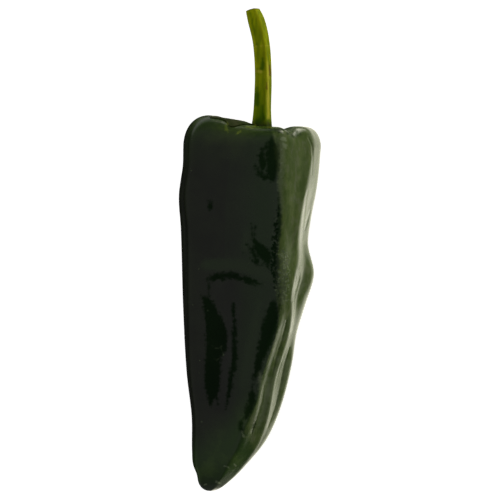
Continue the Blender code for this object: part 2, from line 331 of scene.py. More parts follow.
# %% [markdown]
# ## From rings of points to a mesh
# Both pieces are rings of equally many points between two single end points. Faces could be made one
# by one with bmesh, but their corner numbers follow a rule, so numpy writes them all at once. Values
# that only the material needs go along, as attributes of the points.

# %% A closed skin through rings


def angles(count):
    """Equal steps round a full turn, in one row."""
    return (np.arange(count) * 360 / count)[None, :]


def skin(name, start, rings, end, marks):
    """A closed mesh: quads between neighbouring rings, and a fan of triangles to each end point. marks
    holds values for every ring point, kept on the mesh for its material to read."""
    count, around = rings.shape[:2]
    points = np.vstack([np.reshape(start, (1, 3)), rings.reshape(-1, 3), np.reshape(end, (1, 3))])
    number = 1 + np.arange(count * around).reshape(count, around)
    following = np.roll(number, -1, axis=1)
    quads = np.stack([following[:-1], number[:-1], number[1:], following[1:]], axis=-1).reshape(-1, 4)
    first_fan = np.stack([0 * number[0], number[0], following[0]], axis=-1)
    last_fan = np.stack([0 * number[-1] + len(points) - 1, following[-1], number[-1]], axis=-1)
    corners = np.concatenate([first_fan.ravel(), quads.ravel(), last_fan.ravel()])
    sizes = np.concatenate([np.full(around, 3), np.full(len(quads), 4), np.full(around, 3)])
    mesh = bpy.data.meshes.new(name)
    mesh.vertices.add(len(points))
    mesh.vertices.foreach_set("co", points.ravel())
    mesh.loops.add(len(corners))
    mesh.loops.foreach_set("vertex_index", corners)
    mesh.polygons.add(len(sizes))
    mesh.polygons.foreach_set("loop_start", np.cumsum(sizes) - sizes)
    mesh.polygons.foreach_set("loop_total", sizes)
    mesh.update(calc_edges=True)
    mesh.shade_smooth()
    for mark, values in marks.items():
        on_rings = values + np.zeros((count, around))
        whole = np.concatenate([[values[0].mean()], on_rings.ravel(), [values[-1].mean()]])
        mesh.attributes.new(mark, "FLOAT", "POINT").data.foreach_set("value", whole)
    thing = bpy.data.objects.new(name, mesh)
    bpy.context.scene.collection.objects.link(thing)
    print(f"{name}: {len(points)} points, {sizes.sum() - 2 * len(sizes)} triangles")
    return thing


# %% [markdown]
# ## Where the skin is different
# The right side of the pod is olive, from its corner with the upper face to far under, and its olive
# is also painted light: lighter and warmer where the light from the right falls. The wax isn't even
# either. It is rubbed off in a few patches, which look deep green because they mirror nothing, and the
# same dark finish lies along one fold of the upper face as its painted shade. Painted highlights lie
# pale on the corner, on the rim of the right lobe and on the ridges. The wax is dulled along two
# ridges, hazed on the upper face and blistered where the corner is sharpest, with painted glints in
# the blisters. There are pale specks, of which two on the crown's corner are painted glints, fine
# creases, and yellow-green bits along the edge of the calyx. All these places could be painted by hand
# on an image, but a stroke is only a path with a half width at each of its points, so the distance to
# it can be worked out for every point of the skin and kept there. The material frays its edge later.

# %% Strokes as seen from above: X, Y and half width in millimetres
RUBBED_AND_FOLD_SHADE = [
    [(8.0, 41.0, 0.8), (8.3, 38.0, 2.3), (8.4, 34.5, 2.6), (8.2, 30.0, 2.5), (8.1, 26.4, 1.7)],
    [(4.6, 37.2, 0.8), (4.3, 33.5, 1.5), (4.6, 31.0, 1.4)],
    [(2.0, 31.6, 0.3), (3.0, 28.8, 1.1), (4.6, 26.9, 1.0), (8.0, 26.4, 0.8)],
    [(1.2, 4.2, 0.7), (2.9, 1.6, 1.9), (5.0, -1.0, 2.5), (6.5, -3.8, 1.6), (6.8, -6.2, 0.6)],
    [(-2.8, 2.6, 0.1), (-0.6, 1.6, 0.4), (0.8, -0.4, 1.0), (2.8, -4.4, 0.9)],
    [(-2.6, -1.2, 0.1), (-0.4, -2.6, 0.4), (1.2, -4.4, 0.4), (4.0, -5.4, 0.3)],
    [(0.6, 9.6, 0.1), (0.9, 5.0, 0.5)],
    [(1.7, 8.6, 0.1), (1.6, 4.0, 0.4)],
    [(8.4, -0.6, 0.4), (9.4, -5.0, 0.7), (9.6, -11.0, 0.6)],
    [(-15.3, -10.8, 1.0), (-11.9, -9.7, 1.4), (-6.7, -9.5, 1.5), (-2.6, -10.4, 1.2), (1.1, -11.7, 1.2),
     (4.1, -12.8, 0.7)],
    [(-15.2, -12.6, 0.5), (-14.9, -18.6, 0.3)],
    [(-18.4, -17.2, 0.3), (-16.0, -18.8, 1.8), (-13.5, -25.6, 3.3), (-12.3, -31.6, 4.2),
     (-12.3, -35.0, 4.1)],
    [(-13.5, -38.4, 3.1), (-13.7, -44.0, 3.2), (-14.1, -52.6, 2.6), (-14.8, -57.2, 0.5)],
    [(-12.4, -52.0, 0.6), (-12.2, -57.4, 0.4)],
    # Painted shade: this stroke lays the dark, unreflecting finish along a fold of the upper face as its
    # shadow.
    [(-6.0, -19.7, 0.5), (-5.7, -29.8, 1.0), (-5.7, -37.2, 1.2), (-6.6, -46.0, 1.2), (-8.0, -53.9, 0.8),
     (-8.9, -58.8, 0.4)],
    [(10.6, -16.0, 0.3), (10.8, -22.0, 0.8)],
    [(2.4, -61.0, -0.3), (1.6, -65.0, 0.6), (0.9, -67.6, 0.1)],
    [(8.6, -20.2, 1.7), (7.6, -26.8, 2.9), (6.2, -32.4, 2.9), (4.7, -37.2, 2.2), (3.0, -42.4, 1.5),
     (1.7, -47.6, 0.7)],
    [(0.9, -50.2, 0.5), (0.7, -55.8, 1.7), (-0.5, -59.5, 1.4), (-1.5, -62.5, 0.8)],
    [(-3.5, -64.0, 0.9), (-3.7, -66.6, 0.9)],
    [(-15.2, 18.4, 0.3), (-14.6, 17.0, 0.9), (-14.9, 15.2, 0.8)],
    [(8.0, 44.4, 0.3), (10.4, 44.0, 0.9), (12.8, 44.7, 0.9), (15.2, 45.2, 0.6)],
    [(13.6, 43.4, 0.5), (16.0, 42.2, 0.4), (18.6, 42.6, 0.2)],
]
# Painted highlights: pale colour on the corner, the rim of the right lobe and the ridges, where the wax
# mirrors bright light.
PAINTED_HIGHLIGHTS = [
    [(11.8, 41.0, 1.1), (11.5, 33.0, 1.4), (11.2, 24.0, 0.9), (11.6, 14.0, 0.3)],
    [(11.8, -1.0, 0.6), (12.3, -9.0, 1.1), (12.3, -19.0, 1.0)],
    [(14.6, 44.4, 0.3), (16.4, 45.2, 0.6), (19.2, 45.2, 0.7), (21.6, 43.5, 0.5), (23.2, 40.4, 0.3)],
    [(3.2, -45.4, 0.4), (4.2, -50.0, 1.0), (4.0, -54.4, 0.5)],
    [(9.8, -39.6, 0.5), (11.6, -41.0, 1.3), (13.8, -41.6, 1.3), (13.2, -46.0, 1.0), (11.6, -51.0, 0.8)],
    [(19.7, -9.6, 0.3), (19.4, -12.6, 1.0), (18.4, -16.0, 0.6)],
    [(9.8, -43.6, 0.4), (9.0, -50.0, 1.1), (8.2, -56.0, 1.0), (6.6, -62.0, 0.4)],
    [(10.8, -53.0, 0.4), (10.4, -57.4, 1.1), (9.0, -62.0, 0.5)],
    [(6.6, -47.6, 0.5), (6.4, -54.0, 1.1), (5.0, -60.0, 0.9), (3.4, -65.0, 0.4)],
]
DULLED = [
    [(12.9, -21.0, 0.8), (11.9, -26.8, 1.3), (9.7, -35.0, 1.3), (7.4, -40.2, 1.2), (4.5, -50.2, 1.2),
     (2.2, -61.4, 1.2), (0.5, -68.0, 1.0)],
    [(15.3, -31.6, 0.8), (12.6, -39.0, 1.2), (10.4, -45.4, 1.2), (8.9, -53.9, 1.2), (7.4, -61.4, 1.2),
     (4.5, -68.8, 1.0)],
]
HAZED = [
    [(-16.5, -5.2, 1.4), (-8.0, -5.6, 2.2), (-2.0, -6.2, 2.4), (4.0, -8.4, 1.8), (8.2, -10.6, 1.2)],
    [(-1.4, 6.0, 0.8), (-1.8, 1.0, 1.4)],
    [(3.4, -20.0, 1.0), (1.4, -30.0, 1.6), (-0.6, -40.0, 1.6), (-2.4, -50.0, 1.4)],
]
BLISTERED = [
    [(10.4, 16.0, 0.4), (9.3, 3.7, 1.1), (9.5, -4.5, 2.0), (10.0, -11.0, 1.8), (10.8, -17.0, 1.0)],
    [(12.6, -1.0, 1.5), (13.0, -9.0, 1.7), (12.8, -18.0, 1.3)],
]
# Pale specks; the first two, on the crown's corner, are painted glints of the wax.
PALE_SPECKS_AND_GLINTS = [
    [(11.3, 40.6, 0.4), (12.2, 41.0, 0.8), (13.2, 40.5, 0.5)],
    [(12.2, 39.2, 0.5), (12.8, 38.4, 0.8), (13.3, 37.4, 0.3)],
    [(11.9, 37.6, 0.1), (11.5, 36.8, 0.2)],
    [(11.9, 34.9, 0.1), (11.5, 34.2, 0.2)],
    [(11.8, 32.4, 0.1), (11.4, 31.6, 0.2)],
    [(11.7, 29.8, 0.1), (11.3, 29.0, 0.2)],
    [(11.6, 27.2, 0.1), (11.3, 26.4, 0.2)],
    [(-3.2, -67.0, 0.2), (-2.4, -68.8, 0.5)],
    [(-9.4, -80.2, 0.2), (-8.0, -80.8, 0.2)],
    [(-7.4, -82.2, 0.2), (-6.4, -82.0, 0.2)],
    [(-5.8, -79.6, 0.2), (-5.2, -80.4, 0.2)],
    [(-12.6, -86.4, 0.4), (-11.0, -86.8, 0.3)],
    [(-17.0, -87.4, 0.2), (-16.2, -87.2, 0.2)],
    [(-14.2, -35.6, 0.1), (-12.0, -36.4, 0.1), (-10.4, -35.4, 0.1)],
    [(-13.6, -40.0, 0.1), (-12.2, -40.8, 0.2), (-10.8, -39.4, 0.1)],
    [(-10.8, -36.0, 0.1), (-9.8, -38.8, 0.1)],
    [(-15.8, -22.2, 0.2), (-15.4, -22.8, 0.2)],
    [(-21.0, 20.6, 0.1), (-20.8, 20.0, 0.1)],
    [(-8.6, 34.4, 0.1), (-8.4, 33.8, 0.1)],
    [(-18.0, -63.6, 0.1), (-18.0, -64.2, 0.1)],
]
YELLOWED = [
    [(-8.7, 46.4, 0.4), (-8.9, 44.6, 0.5), (-7.9, 43.6, 0.3)],
    [(-4.6, 43.0, 0.4), (-3.6, 43.6, 0.4)],
    [(-1.0, 45.4, 0.2), (0.8, 45.2, 0.4), (2.0, 46.2, 0.4)],
]
CREASED = [
    [(21.4, 22.3, 0.2), (20.6, 18.6, 0.4), (20.1, 14.1, 0.5), (19.5, 8.2, 0.4), (19.4, 3.7, 0.2)],
    [(22.4, 14.9, 0.2), (21.2, 10.8, 0.4), (20.3, 7.4, 0.2)],
    [(17.6, -7.4, 0.2), (17.1, -11.2, 0.5), (16.2, -15.2, 0.5), (15.7, -19.0, 0.2)],
    [(21.6, 41.6, 0.2), (22.9, 38.6, 0.4), (23.3, 34.0, 0.3), (22.8, 28.0, 0.2)],
    [(13.4, -26.0, 0.2), (11.8, -33.0, 0.4), (9.6, -40.0, 0.4), (8.2, -46.0, 0.2)],
    [(14.6, -36.0, 0.2), (12.8, -42.0, 0.4), (11.4, -50.0, 0.5), (9.4, -58.0, 0.4), (6.6, -66.0, 0.2)],
    [(5.2, -50.0, 0.2), (4.4, -56.0, 0.5), (2.6, -62.0, 0.4), (0.6, -68.0, 0.2)],
    [(-7.0, -78.0, -0.3), (-5.0, -80.6, -0.2), (-7.0, -83.4, -0.2), (-10.4, -85.0, -0.3)],
    [(-17.8, -82.0, -0.2), (-15.6, -84.4, 0.0), (-12.6, -84.0, -0.2)],
]
# The olive side is also painted light: it is lighter and warmer where the light from the right falls.
OLIVE_FROM = [  # Y, and the angle below which the skin is olive
    (-80, 84), (-68, 76), (-63, 71), (-56, 65), (-48, 62), (-41, 58), (-33, 55.5), (-26, 58), (-18, 62.5),
    (-4, 63.5), (9, 61.5), (17, 63.5), (24, 67.5), (38, 73.5),
]


def inside_strokes(strokes, points, above):
    """How many millimetres each point lies inside the nearest stroke, below zero outside: the half
    width at the nearest place of its middle line, less the distance to that place. Only points above a
    height count, because the strokes are drawn as seen from over the pepper."""
    at = points[..., :2] / MM
    depth = np.full(at.shape[:-1], -9.0)
    for path in strokes:
        for (*start, first), (*end, last) in zip(path, path[1:]):
            start, along = np.array(start), np.subtract(end, start)
            share = np.clip((at - start) @ along / (along @ along), 0, 1)
            away = np.linalg.norm(at - start - share[..., None] * along, axis=-1)
            depth = np.maximum(depth, first + share * (last - first) - away)
    return np.where(points[..., 2] > above, depth, -9.0)


print(f"{len(RUBBED_AND_FOLD_SHADE)} rubbed, {len(PAINTED_HIGHLIGHTS)} worn and {len(PALE_SPECKS_AND_GLINTS)} scuffed strokes")

# %% [markdown]
# ## The pod
# The pod's rings run up its sides and then over the crown. They lie closest at the tip, where the shape
# turns fastest, and the points of a ring lie closest on the right flank, where the folds are mirrored.
# Points at equal distances would need twice as many for the same smooth reflections. Beside the
# strokes, the skin keeps where it is olive and painted lit, and where it is greener or dried.

# %% The pod
POD_AROUND = 380
PHOTOGRAPHED_SIDE = 60  # the points of a ring lie closest together round this angle
CROWDING = 28  # by how many degrees at most they are moved towards it
SIDE_RINGS = 198
CROWN_RINGS = 54
FACE_HEIGHT = STEM_Z  # strokes on the upper face count above this height
FLANK_HEIGHT = 12 * MM  # and those that run down the flank above this one

pod_angle = angles(POD_AROUND)
pod_angle = pod_angle - CROWDING * np.sin(np.radians(pod_angle - PHOTOGRAPHED_SIDE))
side_share = np.arange(1, SIDE_RINGS + 1)[:, None] / SIDE_RINGS
side_y = TIP_Y + (SHOULDER_Y - TIP_Y) * (1 - np.cos(side_share * pi / 2))
crown_m = 2 - 2 * np.arange(1, CROWN_RINGS)[:, None] / CROWN_RINGS
pod_rings = np.concatenate([sides(side_y, pod_angle), crown(crown_m, pod_angle)])
pod_tip = (LEFT_EDGE[0][1] * MM, TIP_Y, BACK_EDGE[0][1] * MM)
ring_y = np.concatenate([side_y, SHOULDER_Y + 0 * crown_m])

not_under = ease(turn_between(pod_angle, 290), 0, 60)
olive_from = smooth_through(OLIVE_FROM, np.clip(ring_y / MM, -80, 38))
tipwards = -ring_y / MM
rightwards = pod_rings[..., 0] / MM
olive_fades = ease(tipwards - 2.5 * (rightwards + 2), 54, 76) * ease(tipwards, 48, 60)
greener = 0.2 * ease(-tipwards, -10, -2) + 0.8 * ease(turn_between(106, pod_angle), 0, 32)
pod_marks = {
    "rubbed_and_fold_shade": inside_strokes(RUBBED_AND_FOLD_SHADE, pod_rings, FLANK_HEIGHT),
    "painted_highlight": inside_strokes(PAINTED_HIGHLIGHTS, pod_rings, FLANK_HEIGHT),
    "dulled": inside_strokes(DULLED, pod_rings, FLANK_HEIGHT),
    "hazed": inside_strokes(HAZED, pod_rings, FACE_HEIGHT),
    "blistered": inside_strokes(BLISTERED, pod_rings, FACE_HEIGHT),
    "pale_specks_and_glints": inside_strokes(PALE_SPECKS_AND_GLINTS, pod_rings, FLANK_HEIGHT),
    "yellowed": inside_strokes(YELLOWED, pod_rings, FACE_HEIGHT),
    "creased": inside_strokes(CREASED, pod_rings, FLANK_HEIGHT),
    # 1 on the right side, olive and painted lit, with a narrow rise at its border
    "olive_and_painted_light": ease(turn_between(olive_from, pod_angle), -3, 4) * not_under * (1 - 0.85 * olive_fades),
    # 0 on the sides, 0.35 at the shoulder, and on to 2.35 in the basin
    "crown": np.concatenate([0.35 * ease(side_y / MM, 24, 38), 0.35 + 2 - crown_m]) + 0 * pod_angle,
    "tip": ease(tipwards + 0.8 * (rightwards + 13), 59, 78),
    "greener": greener * not_under,
    "dried": ease(tipwards, 83, 88.5) + 0 * pod_angle,
}
pod = skin("pepper_skin", pod_tip, pod_rings, (STEM_X, BASIN_Y, STEM_Z), pod_marks)
print(f"{(pod_marks['rubbed_and_fold_shade'] > 0).mean():.1%} of the pod's points lie in rubbed strokes")

# %% [markdown]
# ## The calyx and the stem
# The green calyx clasps the crown like a ragged collar, lowest over the front of the rim, and the
# ribbed stem grows from its middle. The calyx is the crown's own surface lifted along its outward
# direction, so it fits without a gap to adjust. The stem is a ring carried along a bent line. One skin
# runs through both, because they are one piece on the plant.

# %% Rings of the calyx
CALYX_GAP = 0.06 * MM  # the solid stands clear of the pod, and the real calyx lies on it
CALYX_EDGE = [  # 1 is the rim and 2 is the shoulder
    (0, 0.72), (50, 0.76), (80, 0.88), (98, 1.26), (112, 1.42), (124, 1.40), (136, 1.24), (152, 0.94),
    (180, 0.74), (270, 0.80),
]
CALYX_POINTS = 12
CALYX_FIRST_POINT = 114
CALYX_POINT_REACH = 0.14  # how far the edge draws in between two points, as a share
CALYX_EDGE_THICKNESS = 0.25 * MM
CALYX_MIDDLE_THICKNESS = 2.2 * MM
STEM_FOOT = 0.4  # the upper side ends here, under the stem, as a share of the reach
STEM_AROUND = 200
CALYX_UNDER_RINGS = 30
CALYX_UPPER_RINGS = 50


def calyx_rings(angle):
    """The underside from the middle to the edge, then the upper side back in. The reach follows a smooth
    curve round the rim, drawn in between the points, and the lift is the gap plus the thickness."""
    points = np.abs(np.cos(np.radians(angle - CALYX_FIRST_POINT) * CALYX_POINTS / 2)) ** 3
    reach = round_through(CALYX_EDGE, angle) * (1 - CALYX_POINT_REACH * (1 - points))
    under = np.linspace(0, 1, CALYX_UNDER_RINGS + 1)[1:, None]
    upper = np.linspace(1, STEM_FOOT, CALYX_UPPER_RINGS)[:, None]
    share = np.vstack([under, upper])
    thicker = CALYX_MIDDLE_THICKNESS - CALYX_EDGE_THICKNESS
    thickness = CALYX_EDGE_THICKNESS + thicker * (1 - upper) ** 2
    lift = CALYX_GAP + np.vstack([0 * under, thickness])
    return crown(share * reach, angle) + crown_outward(share * reach, angle) * lift[..., None]


# %% Rings of the stem
STEM_LINE = [  # X, Y and Z in millimetres
    (4.1, 44.0, 26.0), (4.45, 53.5, 25.6), (4.75, 63.0, 24.9), (4.5, 72.0, 23.9), (3.7, 79.0, 22.8),
    (2.3, 84.8, 21.7), (0.9, 89.15, 20.8),
]
# share of the way up the stem, and half the thickness there in millimetres
STEM_HALF_THICKNESS = [(0, 4.0), (0.10, 3.4), (0.3, 3.15), (0.6, 3.1), (0.88, 3.05), (1, 2.6)]
STEM_RIBS = 5
STEM_RIB_SHARE = 0.06
STEM_SQUARED_FROM = 0.8
STEM_SQUARED_SHARE = 0.35
CUT_DOME = 0.6 * MM
STEM_RINGS = 150
CUT_RINGS = 14


def stem_rings(angle):
    """A ribbed ring at each place on the centre line: the radius is r (1 + share cos(ribs angle)), in
    the plane square to the line, which turns some way towards square to Y at the cut end."""
    t = np.linspace(0, 1, STEM_RINGS)
    share = np.linspace(0, 1, len(STEM_LINE))
    axes = np.array(STEM_LINE).T * MM
    centre = np.stack([smooth_through(list(zip(share, axis)), t) for axis in axes], axis=-1)
    forward = np.gradient(centre, axis=0)
    forward /= np.linalg.norm(forward, axis=-1, keepdims=True)
    past = np.clip((t - STEM_SQUARED_FROM) / (1 - STEM_SQUARED_FROM), 0, 1)
    squared = STEM_SQUARED_SHARE * past[:, None]
    forward = forward * (1 - squared) + np.array([0, 1, 0]) * squared
    forward /= np.linalg.norm(forward, axis=-1, keepdims=True)
    right = np.cross(forward, [0, 0, 1])
    right /= np.linalg.norm(right, axis=-1, keepdims=True)
    up = np.cross(right, forward)
    radius = smooth_through(STEM_HALF_THICKNESS, t)[:, None] * MM
    radius = radius * (1 + STEM_RIB_SHARE * np.cos(np.radians(angle) * STEM_RIBS))
    across = (radius * np.cos(np.radians(angle)))[..., None] * right[:, None]
    upward = (radius * np.sin(np.radians(angle)))[..., None] * up[:, None]
    return centre[:, None] + across + upward


# %% The stem and calyx in one skin, with strokes in millimetres on its upper side
YELLOW_STREAKS = [
    [(6.5, 70.0, 0.3), (6.9, 64.0, 0.6), (6.6, 57.0, 0.7), (6.7, 49.0, 0.8)],
    [(2.2, 75.6, 0.25), (7.4, 75.9, 0.3)],
    [(2.0, 66.3, 0.3), (4.4, 66.0, 0.3)],
]
SCARS = [
    [(7.3, 68.6, 0.3), (7.4, 65.0, 0.4)],
    [(6.2, 62.0, 0.3), (6.3, 59.8, 0.4)],
    [(6.6, 47.2, 0.3), (7.2, 46.6, 0.4)],
    [(1.8, 66.4, 0.2), (2.6, 66.3, 0.2)],
]
DEEP_GREEN = [
    [(4.8, 71.0, 0.3), (4.6, 67.4, 0.7)],
    [(0.2, 88.0, 0.3), (1.4, 82.0, 0.6), (2.6, 76.0, 0.3)],
    [(2.4, 60.0, 0.6), (2.6, 54.0, 0.8)],
    [(4.6, 53.0, 0.6), (4.6, 49.0, 1.5), (3.4, 47.4, 1.6)],
]
STEM_HEIGHT = 20 * MM  # strokes on the stem count above this height

stem_angle = angles(STEM_AROUND)
calyx = calyx_rings(stem_angle)
stem = stem_rings(stem_angle)
stem_end = stem[-1].mean(axis=0)
shrink = np.linspace(1, 0, CUT_RINGS + 1)[1:-1, None, None]
cut = stem_end + (stem[-1] - stem_end) * shrink + np.array([0, CUT_DOME, 0]) * (1 - shrink**2)
stem_rows = np.concatenate([calyx, stem, cut])
along_stem = np.linspace(0, 1, STEM_RINGS)[:, None]
on_calyx, on_stem, on_end = (np.ones((len(rings), 1)) for rings in (calyx, stem, cut))
stem_marks = {
    "up_stem": np.concatenate([0 * on_calyx, along_stem, on_end]),
    "on_cut": np.concatenate([0 * on_calyx, 0 * on_stem[1:], on_end[:1], on_end]),
    "on_calyx": np.concatenate([on_calyx, ease(-along_stem, -0.12, 0), 0 * on_end]),
    "round_stem": np.cos(np.radians(stem_angle) * STEM_RIBS) + np.zeros((len(stem_rows), 1)),
    "yellowed": inside_strokes(YELLOWED + YELLOW_STREAKS, stem_rows, STEM_HEIGHT),
    "scarred": inside_strokes(SCARS, stem_rows, STEM_HEIGHT),
    "deepened": inside_strokes(DEEP_GREEN, stem_rows, STEM_HEIGHT),
}
calyx_middle = (STEM_X, BASIN_Y + CALYX_GAP, STEM_Z)
cut_middle = stem_end + [0, CUT_DOME, 0]
stem_skin = skin("stem_and_calyx_skin", calyx_middle, stem_rows, cut_middle, stem_marks)

# %% [markdown]
# ## Shader sums as Python sums
# A finish is mostly arithmetic on patterns. A node for every sum, wired by hand, hides the recipe, so a
# small class stands for a socket, and its operators add the Math nodes. One method makes any other node
# from its type, its settings and what goes into its sockets.

# %% A socket that can be calculated with


class Wire:
    """The output of a node. +, - and * with a number or another wire add a Math node."""

    def __init__(self, finish, socket):
        self.finish = finish
        self.socket = socket

    def math(self, operation, *others):
        """A Math node with this wire as its first input."""
        sockets = {i: value for i, value in enumerate((self, *others))}
        return self.finish.make("ShaderNodeMath", {"operation": operation}, sockets)

    def __add__(self, other):
        return self.math("ADD", other)

    __radd__ = __add__

    def __mul__(self, other):
        return self.math("MULTIPLY", other)

    __rmul__ = __mul__

    def __sub__(self, other):
        return self.math("SUBTRACT", other)

    def __rsub__(self, other):
        return self.finish.make("ShaderNodeMath", {"operation": "SUBTRACT"}, {0: other, 1: self})

    def between(self, low, high):
        """0 below low, 1 above high and a smooth rise from one to the other."""
        settings = {"interpolation_type": "SMOOTHSTEP"}
        sockets = {"Value": self, "From Min": low, "From Max": high}
        return self.finish.make("ShaderNodeMapRange", settings, sockets)


class Finish:
    """The node tree of a material or of the world."""

    def __init__(self, owner):
        owner.use_nodes = True
        self.tree = owner.node_tree
        self.tree.nodes.clear()

    def make(self, kind, settings=None, sockets=None, out=0):
        """A new node: its settings first, then its sockets, each a wire to link or a value."""
        node = self.tree.nodes.new(kind)
        for key, value in (settings or {}).items():
            setattr(node, key, value)
        for key, value in (sockets or {}).items():
            if isinstance(value, Wire):
                self.tree.links.new(value.socket, node.inputs[key])
            else:
                node.inputs[key].default_value = value
        return Wire(self, node.outputs[out]) if len(node.outputs) else node

    def mix(self, share, first, second):
        """first where share is 0 and second where it is 1, both colours."""
        first = first if isinstance(first, Wire) else (*first, 1)
        second = second if isinstance(second, Wire) else (*second, 1)
        return self.make("ShaderNodeMix", {"data_type": "RGBA"}, {0: share, 6: first, 7: second}, 2)

    def place(self):
        """Where on the piece a point lies, in metres."""
        return self.make("ShaderNodeTexCoord", out=3)

    def stretched(self, vector, scale):
        """The vector with each of X, Y and Z multiplied by its own number."""
        return self.make("ShaderNodeVectorMath", {"operation": "MULTIPLY"}, {0: vector, 1: scale})

    def noise(self, vector, scale, detail=3, roughness=0.5):
        """Cloudy noise from 0 to 1, scale being the number of clouds to a metre."""
        sockets = {"Vector": vector, "Scale": scale, "Detail": detail, "Roughness": roughness}
        return self.make("ShaderNodeTexNoise", None, sockets)

    def dots(self, vector, scale):
        """Distance to the nearest of scattered points, in cells."""
        return self.make("ShaderNodeTexVoronoi", None, {"Vector": vector, "Scale": scale})

    def mark(self, name):
        """A value that the mesh carries at every point."""
        return self.make("ShaderNodeAttribute", {"attribute_name": name}, out=2)

    def bump(self, height, size):
        """The normal of a surface raised by height times size metres."""
        return self.make("ShaderNodeBump", None, {"Height": height, "Distance": size})


# %% [markdown]
# ## The skin of the pod
# The real skin is nearly black green under a clear wax that mirrors its surroundings, uneven at the
# scale of a few millimetres, so that the edges of the reflections waver. It is greener at the tip, and
# lighter green on the crown, partly as painted light where the lamps don't reach. A plain dark colour
# with a low roughness looks like plastic. So there are two finishes, waxed and rubbed, mixed by the
# strokes, whose edges fine noise frays, and the colour, the gloss and three sizes of bump all vary.
# The colour also holds painted light: the lit olive side, pale highlights and glints, and the shade of
# a fold. An image painted by hand could hold all this too, but noise stays sharp from close by and
# needs no file.

# %% Skin material


